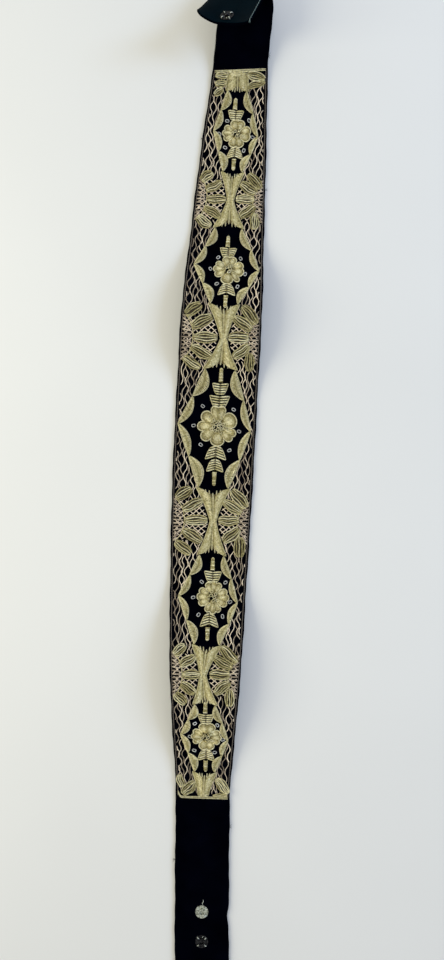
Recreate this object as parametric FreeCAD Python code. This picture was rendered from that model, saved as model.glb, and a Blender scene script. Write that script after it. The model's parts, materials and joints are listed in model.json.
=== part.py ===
"""Embroidered velvet strap, lying face up, with its plain top end folded over to the front.

Units are millimetres. X runs across the strap, Y along it towards the folded end and Z up.
The origin is on the underside, at the middle of the widest stretch, where the strap rests flat.
Everything is first laid out as the unfolded strap, where Y is also the distance along it seen
from above. The folded end is then turned about its three fold lines.
"""
import FreeCAD, Part

import math
import os

from FreeCAD import Vector

# Outline of the strap, seen from above
PLAIN_WIDTH = 47.0
MIDDLE_WIDTH = 70.4
TAPER_REACH = 310.0
BOW_RADIUS = 8500.0
TAIL_END = -470.0
FLAP_END = 436.0
CORNER_RADIUS = 4.0
LAYOUT_HALF_WIDTH = 60.0

# Cloth layers, counted up from the underside
LINING = 0.5
INTERLINING = 1.1
VELVET = 1.0
FACE = LINING + INTERLINING + VELVET
LINING_INSET = 0.8
INTERLINING_INSET = 0.4

# Rest shape of the underside: (along, height). The strap is level at each of these places.
WAVE_NEAR_FOLD = 20.0
WAVE_NEAR_TAIL = 19.0
FOLD_LIFT = 12.0
REST_SHAPE = [
    (-480.0, 0.0),
    (-312.0, 0.0),
    (-206.0, WAVE_NEAR_TAIL),
    (-116.0, 0.0),
    (22.0, 0.0),
    (98.0, WAVE_NEAR_FOLD),
    (172.0, 0.0),
    (290.0, 0.0),
    (352.0, FOLD_LIFT),
    (450.0, FOLD_LIFT),
]

# Folded top end: three skewed fold lines on the lining side
FIRST_FOLD = 363.0
FOLD_SPACING = 10.0
FOLD_ANGLE = 52.0
FOLD_SKEWS = [-15.5, -6.5, 7.5]
# Fold at the tail, on the face side
TAIL_FOLD = -424.0
BODY_GAP = 0.3

# Embroidery heights above the velvet
NET_HEIGHT = 0.4
CORD_HEIGHT = 1.1
RING_HEIGHT = 0.8
FAN_HEIGHT = 1.4
STEM_HEIGHT = 1.4
LEAF_HEIGHT = 1.7
PETAL_HEIGHT = 1.9
CENTRE_HEIGHT = 2.5

# Medallions from the folded end: centre, upper tip, lower tip, half width, flower radius, petals, trees
MEDALLIONS = [
    (251.0, 288.0, 217.0, 18.9, 13.0, 4, 1),
    (133.0, 171.0, 100.0, 27.7, 14.0, 4, 1),
    (0.0, 52.0, -55.0, 31.3, 18.0, 7, 2),
    (-147.5, -106.5, -186.0, 25.1, 14.5, 4, 1),
    (-263.5, -231.0, -297.0, 20.0, 13.5, 4, 1),
]
LEAF_WIDTH = 5.6
LEAF_GAP = 0.4
# Half width of the dark field's blunt tips, as a share of its half width at the middle
TIP_SHARE = 0.36
TREE_LENGTH = 11.0
TREE_WIDTHS = (8.5, 14.0)
STEM_WIDTH = 2.4
STEM_LENGTH = 8.5
RING_RADII = (1.7, 0.9)
# Ring places as shares of the flower's radius: (across, along)
RING_PLACES = [(0.80, 0.97), (1.17, -0.1), (0.64, -1.12)]

# Half rosettes at the waists between medallions
WAISTS = [194.5, 73.4, -81.0, -209.0]
FAN_ANGLES = [-62.0, -34.0, 0.0, 34.0, 62.0]
FAN_HUB_RADIUS = 11.0
FAN_REACH = 29.0
FAN_BLADE_WIDTH = 6.5
FAN_INSET = 4.2
WAIST_HALF_GAP = 3.2
HUB_CORD = 1.4

# Thin cords along both long edges and across both ends of the embroidery
EDGE_CORD_INSETS = (2.4, 3.6)
EMBROIDERY_TOP = 307.0
EMBROIDERY_BOTTOM = -319.5
END_CORD_WIDTH = 1.6
END_MARGIN = 4.0

# Sew-on press studs
STUD_RADIUS = 5.5
STUD_PLATE = 0.45
STUD_HOLE_RADIUS = 0.8
STUD_HOLE_CIRCLE = 3.95
SOCKET_WALL_RADII = (3.05, 2.5)
SOCKET_BORE_RADIUS = 1.9
SOCKET_HEIGHT = 1.9
SOCKET_LIP = 0.5
SPRING_RADIUS = 2.22
SPRING_WIRE = 0.2
BALL_RADIUS = 1.8
BALL_HEIGHT = 2.4
STITCH_WIDTH = 1.1
STITCH_HEIGHT = 0.45
STUD_NEAR = -415.6
STUD_END = -441.0
FLAP_STUD = 428.2

UP = Vector(0, 0, 1)


def bow(along):
    """Sideways place of the strap's centreline."""
    return along * along / (2 * BOW_RADIUS)


def half_width(along):
    """Half the strap's width: one shallow arc each side of the middle, then parallel ends."""
    if abs(along) >= TAPER_REACH:
        return PLAIN_WIDTH / 2
    drop = (MIDDLE_WIDTH - PLAIN_WIDTH) / 2
    return MIDDLE_WIDTH / 2 - drop * (along / TAPER_REACH) ** 2


def flat_point(across, along):
    return Vector(bow(along) + across, along, 0)


def edge_point(side, along, inset):
    return flat_point(side * (half_width(along) - inset), along)


def edge_arc(side, start, end, inset):
    """The strap's edge, set in by a margin, as one arc."""
    middle = (start + end) / 2
    return Part.Arc(
        edge_point(side, start, inset), edge_point(side, middle, inset), edge_point(side, end, inset)
    ).toShape()


def corner(side, end, inset):
    """Rounded corner at one end, from the long edge to the end edge."""
    inward = -1 if end > 0 else 1
    radius = CORNER_RADIUS - inset
    tip = end + inward * inset
    reach = PLAIN_WIDTH / 2 - inset
    middle = flat_point(side * (reach - radius), tip + inward * radius)
    diagonal = Vector(side, -inward, 0).normalize() * radius
    start = flat_point(side * reach, tip + inward * radius)
    finish = flat_point(side * (reach - radius), tip)
    return Part.Arc(start, middle + diagonal, finish).toShape()


def strap_outline(inset):
    """Outline of the whole unfolded strap as a face, set in by a margin."""
    low = TAIL_END + CORNER_RADIUS
    high = FLAP_END - CORNER_RADIUS
    edges = []
    for side in (-1, 1):
        stops = [low, -TAPER_REACH, TAPER_REACH, high]
        for start, end in zip(stops, stops[1:]):
            edges.append(edge_arc(side, start, end, inset))
        edges.append(corner(side, FLAP_END, inset))
        edges.append(corner(side, TAIL_END, inset))
    reach = PLAIN_WIDTH / 2 - CORNER_RADIUS
    for end, inward in ((FLAP_END, -1), (TAIL_END, 1)):
        tip = end + inward * inset
        edges.append(Part.makeLine(flat_point(-reach, tip), flat_point(reach, tip)))
    return Part.Face(Part.Wire(Part.__sortEdges__(edges)))


def rise(start, end, lift):
    """Edges of the rest shape between two level places: a line, or two equal tangent arcs."""
    (y0, z0), (y1, z1) = start, end
    first, last = Vector(0, y0, z0 + lift), Vector(0, y1, z1 + lift)
    if z0 == z1:
        return [Part.makeLine(first, last)]
    half_run, half_rise = (y1 - y0) / 2, (z1 - z0) / 2
    middle = (first + last) / 2
    half_turn = math.atan(half_rise / half_run)
    radius = half_run / math.sin(2 * half_turn)
    step = Vector(0, radius * math.sin(half_turn), radius * (1 - math.cos(half_turn)))
    return [
        Part.Arc(first, first + step, middle).toShape(),
        Part.Arc(middle, last - step, last).toShape(),
    ]


def rest_layer(low, high):
    """Everything between two heights above the underside, over the whole layout."""
    edges = []
    for start, end in zip(REST_SHAPE, REST_SHAPE[1:]):
        edges += rise(start, end, low) + rise(start, end, high)
    for along, height in (REST_SHAPE[0], REST_SHAPE[-1]):
        edges.append(Part.makeLine(Vector(0, along, height + low), Vector(0, along, height + high)))
    profile = Part.Face(Part.Wire(Part.__sortEdges__(edges)))
    profile.translate(Vector(-LAYOUT_HALF_WIDTH, 0, 0))
    return profile.extrude(Vector(2 * LAYOUT_HALF_WIDTH, 0, 0))


def upright(face):
    """A plan outline as a tall prism."""
    prism = face.copy()
    prism.translate(Vector(0, 0, -5))
    return prism.extrude(Vector(0, 0, 60))


def cloth_layer(low, high, inset):
    return rest_layer(low, high).common(upright(strap_outline(inset)))


def applied(faces, height, low=0.0):
    """Plan outlines given in unbowed coordinates, as solids lying on the velvet."""
    prisms = []
    for face in faces:
        placed = face.copy()
        placed.translate(Vector(bow(face.CenterOfMass.y), 0, 0))
        prisms.append(upright(placed))
    layer = rest_layer(FACE + low, FACE + height)
    return Part.makeCompound(layer.common(prisms).Solids)


# ---- plan outlines, in (across, along) coordinates ----


def point(across, along):
    return Vector(across, along, 0)


def bulged(start, end, bulge):
    """Arc between two points that stands off their chord by bulge, to the left of the way."""
    chord = end - start
    left = Vector(-chord.y, chord.x, 0).normalize()
    return Part.Arc(start, (start + end) / 2 + left * bulge, end).toShape()


def lens(start, end, width):
    edges = [bulged(start, end, width / 2), bulged(end, start, width / 2)]
    return Part.Face(Part.Wire(edges))


def polygon(points):
    return Part.Face(Part.makePolygon(points + points[:1]))


def taper(start, end, start_width, end_width):
    """Four-sided strip between two points."""
    way = (end - start).normalize()
    side = Vector(-way.y, way.x, 0)
    return polygon([
        start + side * (start_width / 2),
        start - side * (start_width / 2),
        end - side * (end_width / 2),
        end + side * (end_width / 2),
    ])


def disc(centre, radius):
    return Part.Face(Part.Wire(Part.makeCircle(radius, centre)))


def annulus(centre, outer, inner):
    return disc(centre, outer).cut(disc(centre, inner)).Faces[0]


def polar(centre, radius, degrees):
    angle = math.radians(degrees)
    return centre + Vector(radius * math.cos(angle), radius * math.sin(angle), 0)


def sector(centre, start, end, inner, outer):
    """Part of a ring between two directions in degrees."""
    directions = [start, (start + end) / 2, end]
    inside = [polar(centre, inner, direction) for direction in directions]
    outside = [polar(centre, outer, direction) for direction in directions]
    return Part.Face(Part.Wire([
        Part.Arc(*inside).toShape(),
        Part.makeLine(inside[-1], outside[-1]),
        Part.Arc(*reversed(outside)).toShape(),
        Part.makeLine(outside[0], inside[0]),
    ]))


# ---- embroidery ----


def flower_petals(centre, radius, petals):
    share = 360.0 / petals
    gap = 5.0
    return [
        sector(point(0, centre), share * i + gap, share * (i + 1) - gap, radius * 0.3, radius)
        for i in range(petals)
    ]


def stems_and_trees(centre, radius, trees):
    """Above and below the flower: bands that widen outwards, then a thin stem."""
    faces = []
    for way in (1, -1):
        start = centre + way * (radius + 0.4)
        for _ in range(trees):
            end = start + way * TREE_LENGTH
            faces.append(taper(point(0, start), point(0, end), *TREE_WIDTHS))
            start = end + way * 0.5
        faces.append(taper(point(0, start), point(0, start + way * STEM_LENGTH), STEM_WIDTH, STEM_WIDTH))
    return faces


def leaf_line(medallion, share):
    """Half width of the medallion's border at a share of the way from its middle to a tip."""
    return medallion[3] * (1 - (1 - TIP_SHARE) * share)


def border_leaves(medallion):
    """Two padded leaves along each of the four sides of the dark field."""
    centre, upper, lower = medallion[:3]
    faces = []
    for tip in (upper, lower):
        for side in (-1, 1):
            stops = [0.02, 0.50, 0.98]
            for first, second in zip(stops, stops[1:]):
                ends = [
                    point(side * leaf_line(medallion, s), centre + (tip - centre) * s)
                    for s in (first, second)
                ]
                way = (ends[1] - ends[0]).normalize() * LEAF_GAP
                faces.append(lens(ends[0] + way, ends[1] - way, LEAF_WIDTH))
    return faces


def rings(medallion):
    centre, radius = medallion[0], medallion[4]
    return [
        annulus(point(side * across * radius, centre + along * radius), *RING_RADII)
        for across, along in RING_PLACES
        for side in (-1, 1)
    ]


def net_panels(medallion):
    """Thread net between the border leaves and the edge cords, as four thin panels."""
    centre, upper, lower = medallion[:3]
    leaf_outer = LEAF_WIDTH * 0.6 + LEAF_GAP
    edge_inner = EDGE_CORD_INSETS[1] + LEAF_GAP
    faces = []
    for tip in (upper, lower):
        shares = [s / 20 for s in range(2, 14)]
        open_shares = [
            s for s in shares
            if half_width(centre + (tip - centre) * s) - edge_inner - leaf_line(medallion, s) - leaf_outer > 1
        ]
        ends = [open_shares[0], open_shares[-1]]
        places = [(share, centre + (tip - centre) * share) for share in ends]
        outer = [(half_width(along) - edge_inner, along) for _, along in places]
        inner = [(leaf_line(medallion, share) + leaf_outer, along) for share, along in reversed(places)]
        for side in (-1, 1):
            faces.append(polygon([point(side * t, s) for t, s in outer + inner]))
    return faces


def waist_fans(waist):
    """Half rosettes facing each other across a waist: blades round a hub arc, on both edges."""
    faces = []
    for side in (-1, 1):
        hub = point(side * (half_width(waist) - FAN_INSET), waist)
        facing = 180.0 if side > 0 else 0.0
        reach = half_width(waist) - FAN_INSET - WAIST_HALF_GAP
        faces.append(sector(hub, facing - 84, facing + 84, FAN_HUB_RADIUS - HUB_CORD, FAN_HUB_RADIUS))
        for angle in FAN_ANGLES:
            length = reach if angle == 0 else min(FAN_REACH, reach / math.cos(math.radians(angle)))
            faces.append(lens(
                polar(hub, FAN_HUB_RADIUS + 0.4, facing + angle),
                polar(hub, length, facing + angle),
                FAN_BLADE_WIDTH,
            ))
    return faces


def calyxes():
    """Pairs of small leaves at both tips of every medallion."""
    faces = []
    for centre, upper, lower, *_ in MEDALLIONS:
        for tip in (upper, lower):
            way = 1 if tip > centre else -1
            for side in (-1, 1):
                root = point(side * 0.4, tip + way * 6.5)
                end = point(side * 2.4, tip + way * 0.5)
                faces.append(lens(root, end, 1.6))
    return faces


def end_band(end):
    """Cord across an end of the embroidery with two leaves inside it."""
    way = 1 if end > 0 else -1
    reach = half_width(end) - EDGE_CORD_INSETS[0]
    line = end - way * END_CORD_WIDTH / 2
    faces = [taper(point(-reach, line), point(reach, line), END_CORD_WIDTH, END_CORD_WIDTH)]
    for side in (-1, 1):
        faces.append(lens(
            point(side * 3, end - way * (END_MARGIN + 8)),
            point(side * (reach - 3.5), end - way * END_MARGIN),
            LEAF_WIDTH,
        ))
    return faces


def edge_cord(side):
    """Thin cord that runs just inside one long edge, in bowed coordinates."""
    outer, inner = EDGE_CORD_INSETS
    low, high = EMBROIDERY_BOTTOM + END_CORD_WIDTH, EMBROIDERY_TOP - END_CORD_WIDTH
    edges = [edge_arc(side, low, high, inset) for inset in (outer, inner)]
    for along in (low, high):
        edges.append(Part.makeLine(edge_point(side, along, outer), edge_point(side, along, inner)))
    face = Part.Face(Part.Wire(Part.__sortEdges__(edges)))
    return Part.makeCompound(rest_layer(FACE, FACE + CORD_HEIGHT).common(upright(face)).Solids)


# ---- press studs, standing on z = 0 about the origin ----


def stud_plate():
    plate = Part.makeCylinder(STUD_RADIUS, STUD_PLATE)
    for i in range(4):
        hole = Part.makeCylinder(STUD_HOLE_RADIUS, STUD_PLATE * 3, Vector(STUD_HOLE_CIRCLE, 0, -STUD_PLATE))
        hole.rotate(Vector(0, 0, 0), UP, 45 + 90 * i)
        plate = plate.cut(hole)
    return plate


def tube(outer, inner, low, high):
    return Part.makeCylinder(outer, high - low, Vector(0, 0, low)).cut(
        Part.makeCylinder(inner, high - low, Vector(0, 0, low))
    )


def stud_socket():
    outer, inner = SOCKET_WALL_RADII
    wall = tube(outer, inner, STUD_PLATE, SOCKET_HEIGHT)
    lip = tube(inner, SOCKET_BORE_RADIUS, SOCKET_HEIGHT - SOCKET_LIP, SOCKET_HEIGHT)
    return stud_plate().fuse([wall, lip]).removeSplitter()


def stud_spring():
    height = SOCKET_HEIGHT - SOCKET_LIP - SPRING_WIRE - 0.1
    return Part.makeTorus(SPRING_RADIUS, SPRING_WIRE, Vector(0, 0, height))


def stud_ball():
    post = Part.makeCylinder(BALL_RADIUS, BALL_HEIGHT - STUD_PLATE, Vector(0, 0, STUD_PLATE))
    post = post.makeFillet(0.5, [post.Edges[0]])
    return stud_plate().fuse(post).removeSplitter()


def stud_threads():
    stitches = []
    for i in range(4):
        stitch = Part.makeBox(
            STUD_RADIUS + 0.9 - STUD_HOLE_CIRCLE,
            STITCH_WIDTH,
            STITCH_HEIGHT,
            Vector(STUD_HOLE_CIRCLE, -STITCH_WIDTH / 2, STUD_PLATE + 0.02),
        )
        stitch.rotate(Vector(0, 0, 0), UP, 45 + 90 * i)
        stitches.append(stitch)
    return Part.makeCompound(stitches)


# ---- fold lines ----


def half_space(axis_point, axis, lean, forward):
    """Big block on one side of a plane through a fold line, leaning from upright in degrees."""
    size = 1000.0
    block = Part.makeBox(size, size, size, Vector(-size / 2, 0 if forward else -size, -size / 2))
    block.rotate(Vector(0, 0, 0), Vector(1, 0, 0), lean)
    skew = math.degrees(math.atan2(axis.y, axis.x))
    block.rotate(Vector(0, 0, 0), UP, skew)
    block.translate(axis_point + Vector(-axis.y, axis.x, 0) * (BODY_GAP / 2 * (1 if forward else -1)))
    return block


def fold_lines():
    """The three fold lines of the unfolded top end, as (point, direction)."""
    lean = math.atan(FIRST_FOLD / BOW_RADIUS)
    way = Vector(math.sin(lean), math.cos(lean), 0)
    lines = []
    for index, skew in enumerate(FOLD_SKEWS):
        angle = math.radians(skew) - lean
        place = Vector(bow(FIRST_FOLD), FIRST_FOLD, FOLD_LIFT) + way * (FOLD_SPACING * index)
        lines.append((place, Vector(math.cos(angle), math.sin(angle), 0)))
    return lines


def folded(shape, folds):
    """A shape of the unfolded layout, carried round the first few fold lines."""
    result = shape.copy()
    for place, axis in reversed(fold_lines()[:folds]):
        result.rotate(place, axis, FOLD_ANGLE)
    return result


def stretches():
    """The five rigid stretches of the strap: name, cutting blocks and folds carried round."""
    lines = fold_lines()
    lean = FOLD_ANGLE / 2
    tail_line = (Vector(bow(TAIL_FOLD), TAIL_FOLD, FACE), Vector(1, 0, 0))
    before = [half_space(*line, lean, False) for line in lines]
    after = [half_space(*line, -lean, True) for line in lines]
    tail_before = half_space(*tail_line, 0, False)
    tail_after = half_space(*tail_line, 0, True)
    return [
        ("tail", [tail_before], 0),
        ("band", [tail_after, before[0]], 0),
        ("roll_near", [after[0], before[1]], 1),
        ("roll_top", [after[1], before[2]], 2),
        ("flap", [after[2]], 3),
    ]


def cloth_nodes():
    """Lining, interlining and velvet, each cut into the five stretches."""
    layers = [
        ("lining", cloth_layer(0, LINING, LINING_INSET)),
        ("interlining", cloth_layer(LINING, LINING + INTERLINING, INTERLINING_INSET)),
        ("velvet", cloth_layer(LINING + INTERLINING, FACE, 0)),
    ]
    nodes = {}
    for stretch, blocks, folds in stretches():
        for name, layer in layers:
            piece = layer
            for block in blocks:
                piece = piece.common(block)
            nodes[name + "_" + stretch] = folded(piece, folds)
    return nodes


def embroidery_nodes():
    nodes = {}
    centres = []
    for number, medallion in enumerate(MEDALLIONS, 1):
        centre, _, _, _, radius, petals, trees = medallion
        name = "medallion_%d_" % number
        nodes[name + "flower"] = applied(flower_petals(centre, radius, petals), PETAL_HEIGHT)
        nodes[name + "stems"] = applied(stems_and_trees(centre, radius, trees), STEM_HEIGHT)
        nodes[name + "leaves"] = applied(border_leaves(medallion), LEAF_HEIGHT)
        nodes[name + "rings"] = applied(rings(medallion), RING_HEIGHT)
        nodes[name + "net"] = applied(net_panels(medallion), NET_HEIGHT)
        centres.append(disc(point(0, centre), radius * 0.27))
    nodes["flower_centres"] = applied(centres, CENTRE_HEIGHT)
    for number, waist in enumerate(WAISTS, 1):
        nodes["waist_%d_fans" % number] = applied(waist_fans(waist), FAN_HEIGHT)
    nodes["calyxes"] = applied(calyxes(), STEM_HEIGHT)
    nodes["end_band_top"] = applied(end_band(EMBROIDERY_TOP), CORD_HEIGHT)
    nodes["end_band_bottom"] = applied(end_band(EMBROIDERY_BOTTOM), CORD_HEIGHT)
    nodes["edge_cord_left"] = edge_cord(-1)
    nodes["edge_cord_right"] = edge_cord(1)
    return nodes


def on_face(shape, along):
    placed = shape.copy()
    placed.translate(Vector(bow(along), along, FACE))
    return placed


def on_flap_lining(shape, along):
    """Turned over onto the underside of the unfolded flap, then carried round the folds."""
    placed = shape.copy()
    placed.rotate(Vector(0, 0, 0), Vector(1, 0, 0), 180)
    placed.translate(Vector(bow(along), along, FOLD_LIFT))
    return folded(placed, len(FOLD_SKEWS))


def stud_nodes():
    return {
        "socket_near": on_face(stud_socket(), STUD_NEAR),
        "socket_end": on_face(stud_socket(), STUD_END),
        "socket_spring_near": on_face(stud_spring(), STUD_NEAR),
        "socket_spring_end": on_face(stud_spring(), STUD_END),
        "stud_threads_near": on_face(stud_threads(), STUD_NEAR),
        "stud_threads_end": on_face(stud_threads(), STUD_END),
        "flap_ball": on_flap_lining(stud_ball(), FLAP_STUD),
        "stud_threads_flap": on_flap_lining(stud_threads(), FLAP_STUD),
    }


def main():
    os.makedirs("parts", exist_ok=True)
    nodes = {}
    nodes.update(cloth_nodes())
    nodes.update(embroidery_nodes())
    nodes.update(stud_nodes())
    for name, shape in nodes.items():
        shape.exportStep("parts/%s.step" % name)
        counted = (name, len(shape.Solids), shape.Volume, shape.isValid())
        print("%-22s solids %3d  volume %9.1f  valid %s" % counted)
    for place, axis in fold_lines():
        print("fold line at", place, "along", axis)


main()
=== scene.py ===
"""Looks of the embroidered velvet strap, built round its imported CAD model.

Work lengths are millimetres; they turn into metres where a mesh is made. Places on the strap are
given as (across, along, height): across from its centreline, along as seen from above, and height
over the velvet. The strap's width, bow and waves are read from the CAD mesh.
"""
import json
import math
from collections import namedtuple

import bpy
import numpy as np
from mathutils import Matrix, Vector


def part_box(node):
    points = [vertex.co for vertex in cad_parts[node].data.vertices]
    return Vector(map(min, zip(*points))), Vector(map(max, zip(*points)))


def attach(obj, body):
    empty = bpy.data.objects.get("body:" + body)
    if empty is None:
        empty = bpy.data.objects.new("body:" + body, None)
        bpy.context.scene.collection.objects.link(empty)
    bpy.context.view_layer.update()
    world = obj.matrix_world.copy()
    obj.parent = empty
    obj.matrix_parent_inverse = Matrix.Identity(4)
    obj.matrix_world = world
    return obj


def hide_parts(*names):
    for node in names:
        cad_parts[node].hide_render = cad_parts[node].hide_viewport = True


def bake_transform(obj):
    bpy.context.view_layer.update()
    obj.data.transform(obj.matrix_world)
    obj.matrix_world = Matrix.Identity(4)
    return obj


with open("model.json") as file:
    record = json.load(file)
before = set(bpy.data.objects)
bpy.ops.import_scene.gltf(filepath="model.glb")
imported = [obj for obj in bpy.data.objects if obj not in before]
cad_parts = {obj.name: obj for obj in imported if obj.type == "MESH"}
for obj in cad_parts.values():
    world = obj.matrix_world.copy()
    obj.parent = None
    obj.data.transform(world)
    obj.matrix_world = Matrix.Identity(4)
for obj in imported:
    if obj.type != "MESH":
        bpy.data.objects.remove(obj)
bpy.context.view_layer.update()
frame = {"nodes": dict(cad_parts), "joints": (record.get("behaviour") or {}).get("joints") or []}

MM = 0.001
RANDOM = np.random.default_rng(11)

# Cloth
LINING = 0.5
FACE = 2.6
LINING_INSET = 0.8
CORNER_RADIUS = 4.0
EDGE_ROUND = 0.9
CLOTH_STEP = 1.2
CLOTH_COLUMNS = 25
# The row where the tail's cloth meets the band's
SEAM = -330.0
# Height lost at the flap's left and right corner, over the last stretch of its length
LEFT_CURL = 8.6
RIGHT_CURL = 2.6
CURL_LENGTH = 30.0
# Along: the crease pressed into the tail beside the near stud
CREASE = -419.0
# Distance between folds, and how far each side of one the cloth bends as it turns: short of the next
# fold at either edge
FOLD_SPACING = 10.0
FOLD_REACH = 2.1

# Embroidery
EMBROIDERY_TOP = 305.8
EMBROIDERY_BOTTOM = -318.2
EDGE_INSET = 2.4
# Radius of each wire, and the pitch of the turns on its surface
PURL = 0.5
THREAD = 0.42
FINE_THREAD = 0.29
STRAND = 0.2
HEM_STRAND = 0.28
FRAYED = 0.12
PURL_PITCH = 0.62
THREAD_PITCH = 0.9
# Least height of a pad's face, and height of its underside
PAD_TOP = 0.08
PAD_FOOT = 0.03
# Share of a wire's colour that is its own tone, and the scale of the patches that make up the rest
OWN_TONE_SHARE = 0.75
PATCH_SCALE = 700
Medallion = namedtuple("Medallion", "middle upper lower left right flower heart upper_stem lower_stem "
                                    "radius tip_depth apex_depth")
# From the folded end. Along: middle, both tips and the flower's heart. Across: both apexes, the
# flower and both stems.
MEDALLIONS = [
    Medallion(251.6, 289.0, 218.0, -18.6, 19.8, 1.6, 251.5, -1.8, 1.0, 12.4, 5.6, 4.5),
    Medallion(134.0, 171.0, 101.0, -26.2, 29.2, 3.6, 131.5, 1.2, 2.6, 13.1, 5.6, 4.6),
    Medallion(-0.5, 49.5, -53.0, -32.2, 30.4, 2.0, 0.5, 2.6, 1.3, 17.6, 8.0, 5.6),
    Medallion(-147.5, -109.5, -184.5, -25.2, 25.4, 4.4, -145.7, 3.2, 0.9, 13.8, 5.8, 4.6),
    Medallion(-263.5, -233.5, -296.0, -19.8, 20.6, 2.6, -262.5, 0.9, 2.0, 12.8, 5.4, 4.4),
]
TIP_SHARE = 0.38
# Trees on each side of each flower, and the bars of a tree's half. Trees and stems are given for a
# flower of plain radius.
TREES = [1, 1, 2, 1, 1]
TREE_BARS = 5
PLAIN_RADIUS = 14
TREE_LENGTH = 10.6
TREE_WIDTH = 14.6
STEM_LENGTH = 10.4
STEM_HALF = 1.7
STEM_PITCH = 1.15
# Petals of each flower: first and last direction in degrees, and number of lobes
PETALS = [
    [(47, 131, 2), (134, 226, 3), (229, 312, 2), (-46, 45, 2)],
    [(52, 126, 2), (130, 226, 3), (232, 294, 1), (-36, 50, 2), (297, 323, 1)],
    [(62, 118, 2), (119, 163, 1), (163, 201, 1), (201, 243, 1), (244, 299, 1), (300, 353, 2), (-5, 60, 1)],
    [(48, 130, 3), (133, 226, 3), (230, 312, 3), (-46, 46, 3)],
    [(44, 134, 2), (137, 224, 3), (227, 312, 2), (-46, 42, 3)],
]
CENTRE_LOOPS = [6, 7, 15, 7, 6]
# Frayed ends at the strap's edges: side, along and reach
FRAYED_ENDS = [(1, -342.0, 2.2), (-1, -372.0, 2.6), (1, 318.0, 1.6), (-1, 246.0, 1.8), (1, 205.0, 2.0)]
# Waists between medallions: (along, across)
WAISTS = [(194.5, 0.6), (73.4, 3.0), (-81.0, 2.0), (-209.0, -1.8)]
WAIST_HALF = 2.8
FAN_REACH = 17.0
# Distance between wires of a calyx, and the nets: thread pitch and diamond length of the long one,
# thread gap and slope of the crossed one
FEATHER_PITCH = 0.9
NET_PITCH = 2.3
NET_DIAMOND = 13.5
CROSS_NET_GAP = 4.7
CROSS_NET_SLOPE = 0.9
# Small rings, as shares of the flower's radius: (across, along)
RING_PLACES = [(-0.76, 0.92), (0.72, 0.90), (-1.17, -0.02), (1.10, -0.20), (-0.80, -0.98), (0.62, -1.10)]
# Blades of a half rosette on a waist of full width. First end: along from the waist, depth from
# the rim. Last end: along from the waist, across from the centreline.
FULL_HALF = 34.4
LEFT_BLADES = [(18.5, 1.0, 27.5, 19.0), (8.6, 7.0, 17.7, 9.2), (0.0, 9.2, 0.6, 3.8),
               (-8.4, 7.6, -17.6, 8.0), (-18.6, 1.2, -28.2, 17.0)]
RIGHT_BLADES = [(13.4, 1.0, 27.6, 15.6), (8.3, 5.2, 17.7, 9.0), (1.8, 7.0, 1.2, 5.4),
                (-5.0, 6.4, -16.8, 10.4), (-12.2, 6.0, -29.0, 25.0)]
FAN_WIRES = 5
# Blades beside the end bands. Both ends: across, drop from the border; then width and wires
TOP_BLADES = [(6.6, 3.6, 21.6, 8.6, 7.6, 5), (7.6, 14.6, 21.8, 10.2, 5.6, 4),
              (-10.0, 4.4, -20.6, 4.0, 5.0, 4), (-10.6, 10.4, -20.4, 11.0, 5.5, 4),
              (-13.5, 15.5, -20.2, 20.5, 5.5, 4)]
BOTTOM_BLADES = [(11.5, 17.5, 21.6, 4.6, 8.0, 6), (8.5, 2.4, 21.0, 2.8, 2.6, 3),
                 (-6.8, 14.0, -17.4, 3.2, 8.5, 6), (-18.0, 9.0, -20.6, 20.0, 5.5, 4)]
# The hub at a rosette's edge
HUB_HALF = 18.0
HUB_DEPTH = 8.6


# ---- the strap's surface, read from the CAD mesh ----

# Stretches along the strap: where the tail and the band are cut across, clear of their ends, and the
# whole unfolded strap with a margin
TAIL_SLICED = (-459.0, -426.0)
BAND_SLICED_FROM = -421.0
SLICE_STEP = 2.0
WHOLE = (-476.0, 470.0)


def joint(name):
    return next(j for j in frame["joints"] if j["name"] == name)


def node_edges(name):
    """Both ends of every edge of a CAD node."""
    mesh = frame["nodes"][name].data
    points = np.empty(len(mesh.vertices) * 3)
    mesh.vertices.foreach_get("co", points)
    ends = np.empty(len(mesh.edges) * 2, dtype=np.int32)
    mesh.edges.foreach_get("vertices", ends)
    points = points.reshape(-1, 3) / MM
    return points[ends[0::2]], points[ends[1::2]]


def slices(name, places):
    """Left side, right side and top of a CAD node, cut across at each place along the strap."""
    first, last = node_edges(name)
    rows = []
    for place in places:
        crossing = (first[:, 1] - place) * (last[:, 1] - place) < 0
        a, b = first[crossing], last[crossing]
        cut = a + (b - a) * ((place - a[:, 1]) / (b[:, 1] - a[:, 1]))[:, None]
        rows.append((cut[:, 0].min(), cut[:, 0].max(), cut[:, 2].max()))
    return np.array(rows)


def smoothed(values, width):
    kernel = np.hanning(width + 2)[1:-1]
    padded = np.pad(values, width // 2, mode="edge")
    return np.convolve(padded, kernel / kernel.sum(), mode="valid")


def read_surface():
    """Columns of along, centre, half width, top and slope over the whole unfolded strap."""
    _, fold, fold_height = np.array(joint("roll_fold_near")["pos_m"]) / MM
    tail = np.arange(*TAIL_SLICED, SLICE_STEP)
    band = np.arange(BAND_SLICED_FROM, fold - 12, SLICE_STEP)
    along = np.concatenate([tail, band])
    left, right, top = np.concatenate([slices("velvet_tail", tail), slices("velvet_band", band)]).T
    bow = np.polyfit(along, (left + right) / 2, 2)
    whole = np.arange(*WHOLE, 1.0)
    height = smoothed(np.interp(whole, [*along, fold - 7], [*smoothed(top, 5), fold_height + FACE]), 13)
    half = smoothed(np.interp(whole, along, (right - left) / 2), 13)
    return whole, np.polyval(bow, whole), half, height, np.gradient(height, whole)


ALONG, CENTRE, HALF, TOP, SLOPE = read_surface()


def half_width(along):
    return np.interp(along, ALONG, HALF)


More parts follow.
